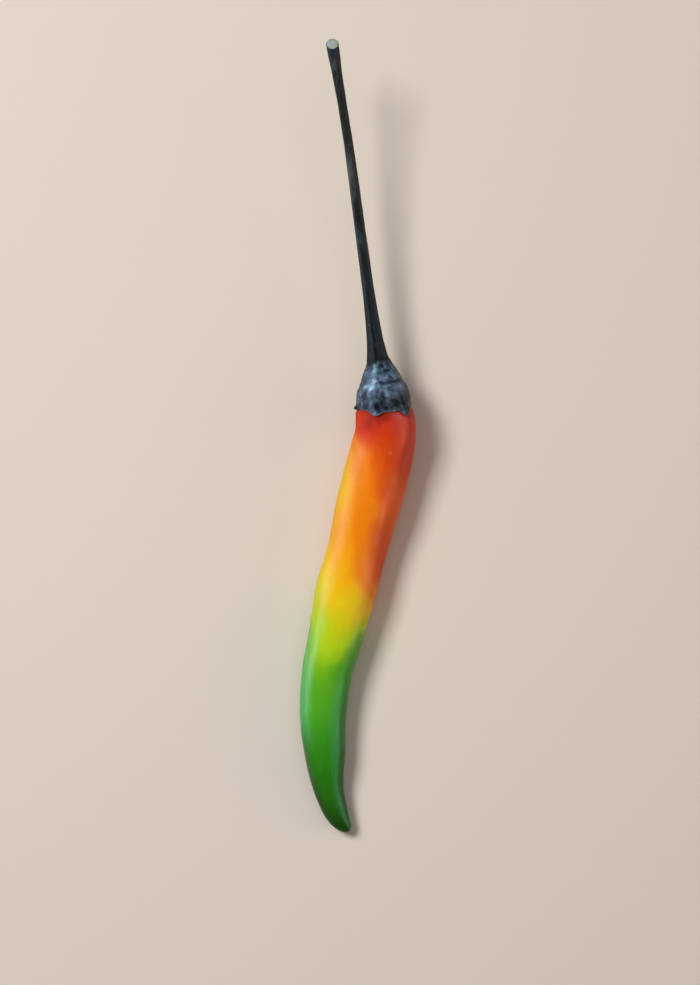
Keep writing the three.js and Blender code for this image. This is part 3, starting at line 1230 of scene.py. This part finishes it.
@dataclass
class Stalk(SweptPiece):
    """The long stalk: fluted, a little twisted, flared into a foot, and cut off at a slant."""

    name = "stalk"
    slot = Slot.STALK
    finish = DarkBark()
    form: dict[str, float] = field(
        default_factory=lambda: {
            "Sides": 56,
            "Ribs": 5.0,
            "Rib height": 0.05,
            "Rib twist": math.radians(55) / 47.7,  # 55 degrees over the wall's length
            "Cut lean": math.tan(math.radians(40)),
            "Cut reach": 4.0,
            "Wrinkle size": 0.42,
            "Wrinkle height": 0.06,
            "Seed": 2.0,
        }
    )
    wall: Profile = Profile((
        (0, 0.94), (1.6, 0.9), (5, 0.75), (10, 0.67), (20, 0.73), (31, 0.81), (37, 0.88),
        (43, 1.13), (46, 1.4), (47.7, 1.7),
    ))
    root: tuple[tuple[float, float], ...] = ((48.1, 1.72), (48.5, 1.6), (48.6, 0))  # in the calyx
    cut_at: float = 0.12
    cut_rows: int = 26
    cut_step: float = 0.002
    cut_bevel: float = 0.09
    bevel_steps: int = 7
    pith: Ramp = (0.35, 0.6)  # the pith's edge on the cut face
    pith_depth: float = 0.07
    cut_loose: float = 0.35  # how freely the cut face wrinkles
    cut_middle: Ramp = (0, 0.2)
    row_count: int = 520
    ribbed_from: Ramp = (1.0, 12.0)
    wrinkle_stretch: float = 7.0

    def rows(self) -> dict[Mark, np.ndarray]:
        """Makes rings over the cut face, round its edge, down the wall and into the calyx.

        Returns:
            The rings' marks.
        """
        edge = self.wall.points[0][1]
        face = np.linspace(0, 1, self.cut_rows) * (edge - self.cut_bevel)
        face_along = self.cut_at + np.arange(self.cut_rows) * self.cut_step
        turn = np.linspace(0, math.pi / 2, self.bevel_steps + 1)[1:]
        bevel = edge - self.cut_bevel * (1 - np.sin(turn))
        bevel_along = face_along[-1] + self.cut_bevel * (1 - np.cos(turn))
        foot = self.wall.points[-1][0]
        wall_along = np.linspace(bevel_along[-1], foot, self.row_count)[1:]
        root = np.array(self.root)
        along = np.concatenate([face_along, bevel_along, wall_along, root[:, 0]])
        girth = np.concatenate([face, bevel, self.wall.radius(wall_along), root[:, 1]])
        cut = np.arange(len(along)) < self.cut_rows
        sunk = np.where(cut, self.pith_depth * (1 - smoothstep(girth, *self.pith)), 0)
        loose = np.where(cut, self.cut_loose, 1.0) * smoothstep(girth, *self.cut_middle)
        rim = np.where(cut, 1.0, 0.0)
        marks = {Mark.ALONG: along, Mark.GIRTH: girth, Mark.SUNK: sunk}
        return marks | {Mark.LOOSE: loose, Mark.RIM: rim}

    def tree(self, graph: RingGraph) -> bpy.types.NodeTree:
        """Gives the rings flutes, wrinkles, and a slanted cut with a sunken pith.

        Args:
            graph: the tree with its rings.
        Returns:
            The tree.
        """
        given, along, angle = graph.given, graph.along, graph.angle
        turned = (angle - along * given["Rib twist"]) * given["Ribs"]
        ribs = graph.maths("COSINE", turned) * given["Rib height"]
        fluted = graph.girth * (ribs * graph.ramped(along, *self.ribbed_from) + 1.0)
        leaning = given["Cut lean"] * fluted * graph.maths("COSINE", angle)
        leaning = leaning * graph.ramped(along, 0.0, given["Cut reach"], 1.0, 0.0)
        mesh = graph.set_out(fluted, leaning + graph.read(Mark.SUNK))
        mesh = graph.wrinkled(mesh, "Wrinkle", self.wrinkle_stretch, detail=2.0)
        return graph.closed_off(mesh)


class Relief(NamedTuple):
    """A bump or a hollow in the calyx: its place, its height, and its reach along and round."""

    along: float
    degrees: float
    height: float
    reach_along: float
    reach_round: float


class Tooth(NamedTuple):
    """One tooth of the calyx."""

    degrees: float
    length: float
    flick: float  # how high its tip stands off
    before: float  # degrees that it takes up before its tip
    after: float  # and after it


@dataclass
class Calyx(Piece):
    """The toothed cup that holds the pod's shoulder, with a ridge running down to each tooth."""

    name = "calyx"
    slot = Slot.CALYX
    finish = Leathery()
    graph = ShapeGraph
    pod: Profile = Pod.wall
    form: dict[str, float] = field(
        default_factory=lambda: {
            "Fold size": 0.95,
            "Fold height": 0.07,
            "Wrinkle size": 0.4,
            "Wrinkle height": 0.07,
            "Seed": 6.0,
        }
    )
    wall: Profile = Profile((
        (47.2, 1.5), (47.6, 1.69), (48, 1.86), (48.5, 2.06), (49.2, 2.43), (50.2, 2.88),
        (51, 3.22), (51.6, 3.56), (52.4, 3.88), (53.6, 4.06), (54.8, 4.12),
    ))
    teeth: tuple[Tooth, ...] = (
        Tooth(-90, 0.12, 0.24, 12, 11),
        Tooth(-18, 0.6, 0.12, 23, 15),
        Tooth(39, 0.9, 0.1, 13, 28),
        Tooth(118, 0.5, 0.06, 18, 18),
        Tooth(194, 0.65, 0.1, 20, 16),
    )
    rim_shift: float = 0.18
    rim_wave: float = 0.35
    rim_wave_turn: float = 5.0
    cup_start: float = 52.4  # from here to the wall's end the teeth are drawn out
    flick_start: float = 53.8  # and from here their tips stand off
    ridge_height: float = 0.16
    ridge_start: Ramp = (48.2, 51)
    # how much a ridge counts in the calyx's painted highlight and shade
    ridge_bloom: float = 0.4  # how much a ridge counts as raised
    rim_thickness: float = 0.18
    rim: Ramp = (54.64, 54.76)
    rim_hold: float = 0.7  # how much less freely the rim wrinkles
    edge_loose: float = 0.2
    free_from: Ramp = (47.8, 48.6)
    fit_gap: float = 0.03
    hugging: Ramp = (0, 0.25)  # the lining follows the pod from this share of its length
    crease_at: float = 51.27
    crease_waves: tuple[Point, ...] = ((0.07, 3, 0.6), (0.05, 7, 0))  # height, count and turn
    crease_depth: float = 0.06
    crease_width: float = 0.2
    crease_gap: Point = (-0.6, 0.16, 0.9)  # angle, squared width, and share of the depth
    reliefs: tuple[Relief, ...] = tuple(map(Relief._make, (
        (48.3, -18, 0.05, 0.3, 0.4), (49.4, -20, 0.11, 0.9, 0.36), (50.0, -44, 0.05, 0.9, 0.6),
        (50.4, -62, 0.06, 0.5, 0.45), (49.0, -32, -0.06, 0.5, 0.3), (52.7, -19, 0.05, 0.3, 0.3),
        (53.4, -38, -0.06, 0.45, 0.35), (53.8, 36, -0.05, 0.9, 0.8),
        (50.75, -21, 0.15, 0.55, 0.42), (51.5, -45, 0.16, 0.35, 0.6),
        (51.75, -27, 0.19, 0.55, 0.75), (52.2, -32, 0.12, 0.35, 0.35),
        (52.2, -60, 0.15, 0.6, 0.4), (53.8, -58, 0.1, 0.5, 0.3), (54.05, -28, 0.12, 0.35, 0.25),
        (50.05, 8, 0.06, 0.25, 0.35), (50.5, 12, 0.14, 0.3, 0.35), (50.3, 46, 0.04, 0.35, 0.3),
        (51.8, 4, 0.13, 0.25, 0.7), (51.9, 74, 0.05, 0.6, 0.7), (52.05, 42, 0.12, 0.35, 0.35),
        (52.35, -6, 0.09, 0.2, 0.25), (53.0, 5, 0.13, 0.7, 0.34), (51.9, 150, 0.12, 0.5, 1.0),
        (51.9, -130, 0.12, 0.5, 1.0), (50.2, -150, 0.08, 0.6, 0.4), (48.7, 10, -0.15, 0.5, 0.4),
        (49.6, 24, -0.1, 0.25, 0.4), (50.6, 28, -0.1, 0.25, 0.3), (50.4, 33, -0.07, 0.45, 0.45),
        (51.2, 32, -0.13, 0.28, 0.9), (51.35, -16, -0.1, 0.2, 0.25),
        (53.0, -50, -0.06, 0.6, 0.5), (53.5, -3, -0.09, 0.6, 0.3), (53.5, -16, -0.08, 0.6, 0.2),
        (54.35, -14, -0.26, 0.55, 0.38), (54.3, 20, -0.2, 0.6, 0.8), (54.2, 38, -0.22, 0.7, 0.25),
        (54.4, -90, 0.26, 0.32, 0.38), (50.4, 110, -0.08, 0.4, 0.5), (53.6, 98, -0.1, 0.7, 0.5),
        (53.4, 172, -0.12, 0.6, 0.4), (53.2, -112, -0.1, 0.7, 0.5),
    )))
    inside: tuple[float, ...] = (0.0, 0.6, 1.2)  # radii of the rows that close the neck
    inside_at: float = 48.0
    sides: int = 300
    wall_rows: int = 170
    edge_rows: int = 9
    lining_rows: int = 50
    fold_shape: tuple[float, float, float] = (1.3, 1.0, 0.8)  # stretch, detail and sharpness
    wrinkle_shape: tuple[float, float, float] = (1.2, 3.0, 0.5)

    def tooth_at(self, angle: np.ndarray) -> tuple[np.ndarray, np.ndarray, np.ndarray, np.ndarray]:
        """Finds the nearest tooth.

        Args:
            angle: angles round the centreline.
        Returns:
            Its length, its flick, and its share of width and of ridge at each angle.
        """
        degrees, length, flick, before, after = np.array(self.teeth).T
        turn = wrapped(angle[:, None] - np.radians(degrees))
        nearest = np.abs(turn).argmin(axis=1)
        off = turn[np.arange(len(angle)), nearest]
        width = np.radians(np.where(off < 0, before[nearest], after[nearest]))
        ridge = np.cos(off * len(self.teeth) / 2) ** 2
        return length[nearest], flick[nearest], np.maximum(0, 1 - np.abs(off) / width), ridge

    def relief(self, along: np.ndarray, angle: np.ndarray) -> np.ndarray:
        """Sums the bumps, the hollows and the crease between neck and cup.

        Args:
            along: distance along the centreline of each point.
            angle: angle of each point.
        Returns:
            How far each point is raised.
        """
        waves = (high * np.sin(count * angle + turn) for high, count, turn in self.crease_waves)
        crease_at = self.crease_at + sum(waves)
        gap_at, gap_width, gap_share = self.crease_gap
        gap = gap_share * np.exp(-(wrapped(angle - gap_at) ** 2) / gap_width)
        across = (along - crease_at) / self.crease_width
        raised = -self.crease_depth * (1 - gap) * np.exp(-(across**2))
        for spot in self.reliefs:
            off = (along - spot.along) / spot.reach_along
            turn = wrapped(angle - math.radians(spot.degrees))
            aside = turn * self.wall.radius(spot.along) / spot.reach_round
            raised += spot.height * np.exp(-(off**2) - aside**2)
        return raised

    def band(self, *marks: np.ndarray | float) -> np.ndarray:
        """Spreads distance along, radius, looseness, relief and rim over a band of rows."""
        return np.stack(np.broadcast_arrays(*marks, np.zeros(self.sides))[:-1], axis=-1)

    def start(self) -> bpy.types.Mesh:
        """Builds the closed cup: neck, outer wall, rim and lining.

        Returns:
            The mesh with its marks.
        """
        angle = np.arange(self.sides) * 2 * math.pi / self.sides
        length, flick, share, ridge = self.tooth_at(angle)
        pole = self.band(self.inside_at, np.array(self.inside)[:, None], 0, 0, 0)
        start, radius = self.wall.rows(self.wall_rows).T[:, :, None]
        wave = self.rim_wave * np.cos(2 * (angle - math.radians(self.rim_wave_turn)))
        drawn = length * share + self.rim_shift + wave
        lip = self.wall.points[-1][0]
        along = start + smoothstep(start, self.cup_start, lip) * drawn
        radius = radius + self.pod.radius(along) - self.pod.radius(start)
        radius = radius + flick * share * smoothstep(start, self.flick_start, lip)
        ridges = self.ridge_height * (ridge - 0.5) * smoothstep(start, *self.ridge_start)
        rim = smoothstep(start, *self.rim)
        loose = smoothstep(start, *self.free_from) * (1 - self.rim_hold * rim)
        raised = self.relief(along, angle) * (1 - rim)
        # the height that sets the calyx's painted highlight and shade
        shading_height = raised + ridges * self.ridge_bloom
        wall = self.band(along, radius + ridges + raised, loose, shading_height, rim)
        end, outer = wall[-1, :, 0], wall[-1, :, 1]
        half = self.rim_thickness / 2
        turn = np.linspace(0, math.pi, self.edge_rows)[1:, None]
        thick = outer - half * (1 - np.cos(turn))
        edge = self.band(end + half * np.sin(turn), thick, self.edge_loose, 0, 1 - turn / math.pi)
        step = np.linspace(0, 1, self.lining_rows)[1:, None]
        along = end + (self.pod.points[0][0] - self.fit_gap - end) * step
        fitted = self.pod.radius(along)
        held = edge[-1, :, 1] + fitted - self.pod.radius(end)
        hug = smoothstep(step, *self.hugging)
        radius = held * (1 - hug) + (fitted + self.fit_gap) * hug
        radius[-1] = 0
        lining = self.band(along, radius, 0, 0, 0)
        return self.skin(np.concatenate([pole, wall, edge, lining]), angle)

    def skin(self, rows: np.ndarray, angle: np.ndarray) -> bpy.types.Mesh:
        """Joins rows of points into one closed mesh.

        Args:
            rows: for each row and angle, the distance along, the radius, and the other marks.
            angle: the angles.
        Returns:
            The mesh.
        """
        count, sides, _ = rows.shape
        along, radius, loose, raised, rim = rows.reshape(count * sides, -1).T
        turn = np.tile(angle, count)
        side, top = np.sin(turn), np.cos(turn)
        rings = CENTRELINE.rings(along)
        out = rings.across * side[:, None] + rings.over * top[:, None]
        corners = (rings.axis + out * radius[:, None]) * MM
        here = np.arange(count * sides).reshape(count, sides)
        after = np.roll(here, -1, axis=1)
        faces = np.stack([here[:-1], after[:-1], after[1:], here[1:]], axis=-1).reshape(-1, 4)
        mesh = bpy.data.meshes.new("calyx_rows")
        mesh.from_pydata(corners.tolist(), [], faces.tolist())
        straight = np.column_stack([side * radius, top * radius, along])
        marks = {Mark.ALONG: along, Mark.SIDE: side, Mark.TOP: top, Mark.STRAIGHT: straight}
        write_marks(mesh, marks | {Mark.LOOSE: loose, Mark.RAISED: raised, Mark.RIM: rim})
        return mesh

    def tree(self, graph: ShapeGraph) -> bpy.types.NodeTree:
        """Closes the cup's poles, and folds and wrinkles its skin."""
        mesh = graph.wrinkled(graph.merged(graph.given["Geometry"]), "Fold", *self.fold_shape)
        return graph.closed_off(graph.wrinkled(mesh, "Wrinkle", *self.wrinkle_shape))


@dataclass(frozen=True)
class Lamp:
    """A soft rectangular light that faces the pepper."""

    name: str
    towards: Point
    size: tuple[float, float]
    power: float
    colour: Point
    mirrored: bool = False  # a mirrored lamp only shows in gloss, and any other only sheds light
    distance: float = 0.6

    def build(self, aim: Vector) -> None:
        """Hangs the light.

        Args:
            aim: the point that it faces.
        """
        light = bpy.data.lights.new(self.name, "AREA")
        light.shape = "RECTANGLE"
        light.size, light.size_y = self.size
        light.energy = self.power
        light.color = self.colour
        hung = bpy.data.objects.new(self.name, light)
        direction = Vector(self.towards).normalized()
        hung.location = aim + direction * self.distance
        hung.rotation_euler = direction.to_track_quat("Z", "Y").to_euler()
        hung.visible_glossy = self.mirrored
        hung.visible_diffuse = not self.mirrored
        bpy.context.scene.collection.objects.link(hung)


@dataclass
class Studio:
    """A plain pale floor, soft light from the upper left, and a camera that looks down."""

    aim: Point = (-0.0012, -0.0079, 0.005)
    elevation: float = 83.0
    distance: float = 0.328
    lens: float = 80.0
    clipping: tuple[float, float] = (0.01, 10)
    floor_colour: str = "ddd3c8"
    floor_roughness: float = 0.9
    floor_size: float = 3.0
    lamps: tuple[Lamp, ...] = (
        Lamp("key", (-0.48, 0.26, 0.84), (0.2, 0.2), 2.95, (1.0, 0.99, 0.97)),
        Lamp("overhead", (0.15, 0.1, 1.0), (0.5, 0.5), 0.75, (1.0, 1.0, 1.0)),
        Lamp("bounce", (0.9, 0.0, 0.42), (0.3, 0.3), 0.55, (1.0, 0.66, 0.42)),
        Lamp("window", (-0.62, 0.6, 0.32), (0.2, 0.14), 0.6, (0.85, 0.93, 1.0), mirrored=True),
        Lamp("wall", (-0.95, 0.2, 0.22), (0.45, 0.25), 4.2, (0.55, 0.78, 1.0), mirrored=True),
        Lamp("strip", (0.95, -0.1, 0.36), (0.3, 0.12), 0.7, (0.8, 0.86, 1.0), mirrored=True),
        Lamp("doorway", (0.76, 0.35, 0.55), (0.3, 0.26), 3.0, (0.6, 0.84, 1.0), mirrored=True),
    )
    sky: float = 0.06
    sky_colour: Colour = (0.93, 0.96, 1.0, 1.0)

    def build(self) -> None:
        """Makes the floor, the lights, the world and the camera."""
        self.lay_floor()
        for lamp in self.lamps:
            lamp.build(Vector(self.aim))
        world = bpy.data.worlds.new("studio_air")
        world.use_nodes = True
        air = world.node_tree.nodes["Background"].inputs
        air["Color"].default_value = self.sky_colour
        air["Strength"].default_value = self.sky
        bpy.context.scene.world = world
        bpy.context.scene.view_settings.view_transform = "Standard"
        self.set_camera()

    def lay_floor(self) -> None:
        """Lays the floor at the lowest point of the pepper."""
        half = self.floor_size / 2
        mesh = bpy.data.meshes.new("floor")
        ways = ((-1, -1), (1, -1), (1, 1), (-1, 1))
        mesh.from_pydata([(x * half, y * half, CAD_BOX[0].z) for x, y in ways], [], [(0, 1, 2, 3)])
        material = bpy.data.materials.new("plain_floor")
        material.use_nodes = True
        shader = material.node_tree.nodes["Principled BSDF"].inputs
        shader["Base Color"].default_value = linear(self.floor_colour)
        shader["Roughness"].default_value = self.floor_roughness
        shader["Specular IOR Level"].default_value = 0.0
        mesh.materials.append(material)
        floor = bpy.data.objects.new("floor", mesh)
        bpy.context.scene.collection.objects.link(floor)

    def set_camera(self) -> None:
        """Puts the camera above the pepper, tipped back a little towards its tip."""
        camera = bpy.data.objects.new("camera", bpy.data.cameras.new("camera"))
        camera.data.lens = self.lens
        rise = math.radians(self.elevation)
        back = Vector((0, -math.cos(rise), math.sin(rise)))
        camera.location = Vector(self.aim) + back * self.distance
        camera.rotation_euler = (math.pi / 2 - rise, 0, 0)
        camera.data.clip_start, camera.data.clip_end = self.clipping
        bpy.context.scene.collection.objects.link(camera)
        bpy.context.scene.camera = camera


def main() -> None:
    """Builds the studio and the pepper, and logs each piece's points and faces."""
    logging.basicConfig(level=logging.INFO, format="%(name)s: %(message)s")
    Studio().build()
    for piece in (Pod(), Calyx(), Stalk()):
        made = piece.build()
        mesh = made.data
        LOG.info("%s: %d points, %d faces", made.name, len(mesh.vertices), len(mesh.polygons))


if __name__ == "__main__":
    main()
